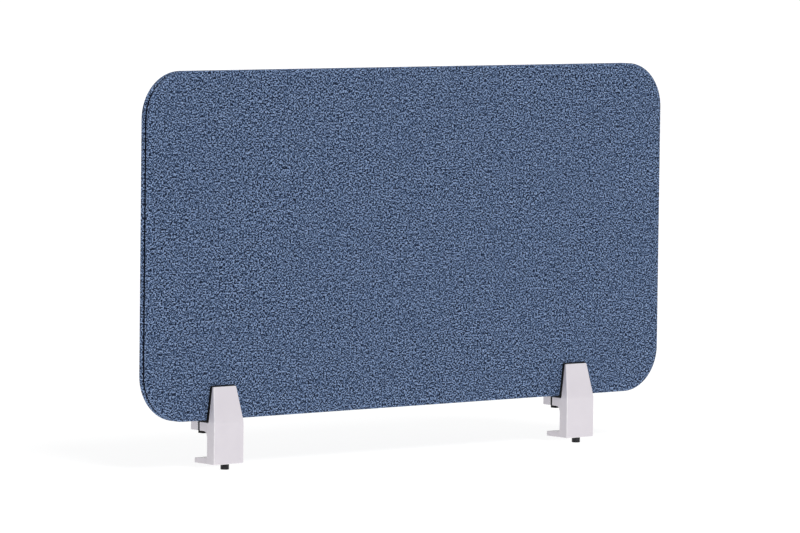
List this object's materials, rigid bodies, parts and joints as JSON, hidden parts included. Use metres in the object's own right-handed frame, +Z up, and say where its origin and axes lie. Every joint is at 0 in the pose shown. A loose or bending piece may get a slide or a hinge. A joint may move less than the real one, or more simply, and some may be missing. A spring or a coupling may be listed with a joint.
{
  "type": "desk privacy panel",
  "caption": "Low upholstered screen with rounded corners, held behind a desk's edge by two cast screw clamps.",
  "frame": {"origin": "on the desk top, under the left clamp's rubber foot, level with the clamp's middle and the middle of the panel's thickness", "axes": "+X along the panel to the right as seen from its front, +Y from the front face to the back, over the desk, +Z up"},
  "size_m": [0.8, 0.0435, 0.4568],
  "materials": {
    "blue_cloth": "woven, matt, melange",
    "navy_seam": "matt",
    "core_board": "raw board",
    "grey_foam": "open cell",
    "white_paint": "satin powder coat",
    "black_rubber": "matt",
    "brass": "machined",
    "steel": "zinc plated",
    "black_steel": "black oxide"
  },
  "bodies": {
    "left_clamp": {"left_clamp_body": "white_paint", "left_front_pad": "black_rubber", "left_bridge": "white_paint", "left_bridge_screw_1": "steel", "left_bridge_screw_2": "steel", "left_threaded_insert": "brass", "left_rest_pad": "black_rubber", "left_desk_foot": "black_rubber"},
    "panel": {"panel_core_board": "core_board", "panel_front_foam": "grey_foam", "panel_rear_foam": "grey_foam", "panel_front_cover": "blue_cloth", "panel_rear_cover": "blue_cloth", "panel_seam_strip": "navy_seam"},
    "left_rear_jaw_set": {"left_rear_jaw": "white_paint", "left_rear_pad": "black_rubber", "left_guide_pin_1": "steel", "left_guide_pin_2": "steel"},
    "left_rear_screw_set": {"left_rear_screw": "black_steel"},
    "left_lower_jaw_set": {"left_lower_jaw": "white_paint"},
    "left_lower_screw_set": {"left_lower_screw": "black_steel"},
    "right_clamp": {"right_clamp_body": "white_paint", "right_front_pad": "black_rubber", "right_bridge": "white_paint", "right_bridge_screw_1": "steel", "right_bridge_screw_2": "steel", "right_threaded_insert": "brass", "right_rest_pad": "black_rubber", "right_desk_foot": "black_rubber"},
    "right_rear_jaw_set": {"right_rear_jaw": "white_paint", "right_rear_pad": "black_rubber", "right_guide_pin_1": "steel", "right_guide_pin_2": "steel"},
    "right_rear_screw_set": {"right_rear_screw": "black_steel"},
    "right_lower_jaw_set": {"right_lower_jaw": "white_paint"},
    "right_lower_screw_set": {"right_lower_screw": "black_steel"}
  },
  "joints": [
    {"name": "panel_slide", "type": "slide", "parent": "left_clamp", "child": "panel", "axis": [1, 0, 0], "range_m": [-0.15, 0.03]},
    {"name": "right_clamp_slide", "type": "slide", "parent": "panel", "child": "right_clamp", "axis": [1, 0, 0], "range_m": [-0.15, 0.06]},
    {"name": "left_rear_jaw_slide", "type": "slide", "parent": "left_clamp", "child": "left_rear_jaw_set", "axis": [0, 1, 0], "range_m": [0, 0.004]},
    {"name": "left_rear_screw_turn", "type": "hinge", "parent": "left_rear_jaw_set", "child": "left_rear_screw_set", "pos_m": [0, 0.0155, 0.008], "axis": [0, 1, 0], "range_deg": [0, 1800.1]},
    {"name": "left_lower_jaw_slide", "type": "slide", "parent": "left_clamp", "child": "left_lower_jaw_set", "axis": [0, 0, 1], "range_m": [0, 0.015]},
    {"name": "left_lower_screw_turn", "type": "hinge", "parent": "left_lower_jaw_set", "child": "left_lower_screw_set", "pos_m": [0, -0.0156, -0.0353], "axis": [0, 0, 1], "range_deg": [0, 5400.1]},
    {"name": "right_rear_jaw_slide", "type": "slide", "parent": "right_clamp", "child": "right_rear_jaw_set", "axis": [0, 1, 0], "range_m": [0, 0.004]},
    {"name": "right_rear_screw_turn", "type": "hinge", "parent": "right_rear_jaw_set", "child": "right_rear_screw_set", "pos_m": [0.55, 0.0155, 0.008], "axis": [0, 1, 0], "range_deg": [0, 1800.1]},
    {"name": "right_lower_jaw_slide", "type": "slide", "parent": "right_clamp", "child": "right_lower_jaw_set", "axis": [0, 0, 1], "range_m": [0, 0.015]},
    {"name": "right_lower_screw_turn", "type": "hinge", "parent": "right_lower_jaw_set", "child": "right_lower_screw_set", "pos_m": [0.55, -0.0156, -0.0353], "axis": [0, 0, 1], "range_deg": [0, 5400.1]}
  ],
  "couplings": [
    {"joint": "left_rear_screw_turn", "follows": "left_rear_jaw_slide", "rad_per_m": 7854},
    {"joint": "left_lower_screw_turn", "follows": "left_lower_jaw_slide", "rad_per_m": 6283.2},
    {"joint": "right_rear_screw_turn", "follows": "right_rear_jaw_slide", "rad_per_m": 7854},
    {"joint": "right_lower_screw_turn", "follows": "right_lower_jaw_slide", "rad_per_m": 6283.2}
  ]
}
